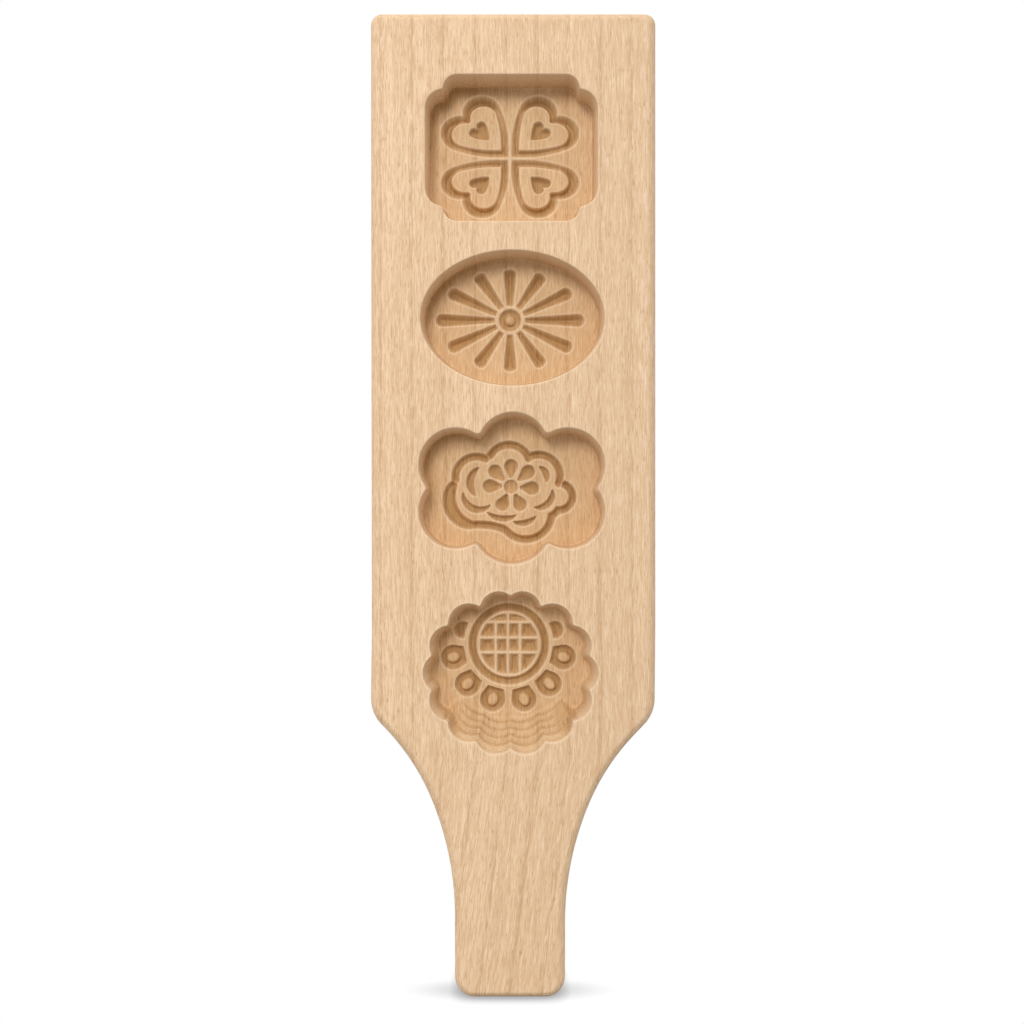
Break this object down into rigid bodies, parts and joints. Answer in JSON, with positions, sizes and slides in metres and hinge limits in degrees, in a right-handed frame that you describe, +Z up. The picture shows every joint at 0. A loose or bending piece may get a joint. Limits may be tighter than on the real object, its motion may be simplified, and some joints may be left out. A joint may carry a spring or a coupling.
{
  "type": "mooncake mold",
  "caption": "One-piece wooden mooncake mold: a plank with a waisted handle and a row of drafted recesses, each with a relief carved into its floor to shape and print a cake.",
  "frame": {"origin": "on the handle's flat end, under the middle of the blade's width and of the plank's thickness", "axes": "+Z up the board from the handle's end to the top of the blade, -Y out of the carved face, +X to the right when looking at the carved face"},
  "size_m": [0.1, 0.023, 0.3461],
  "materials": {
    "beech": "sanded bare beech, faintly satin"
  },
  "bodies": {
    "root": {"mold_board": "beech"}
  },
  "joints": []
}
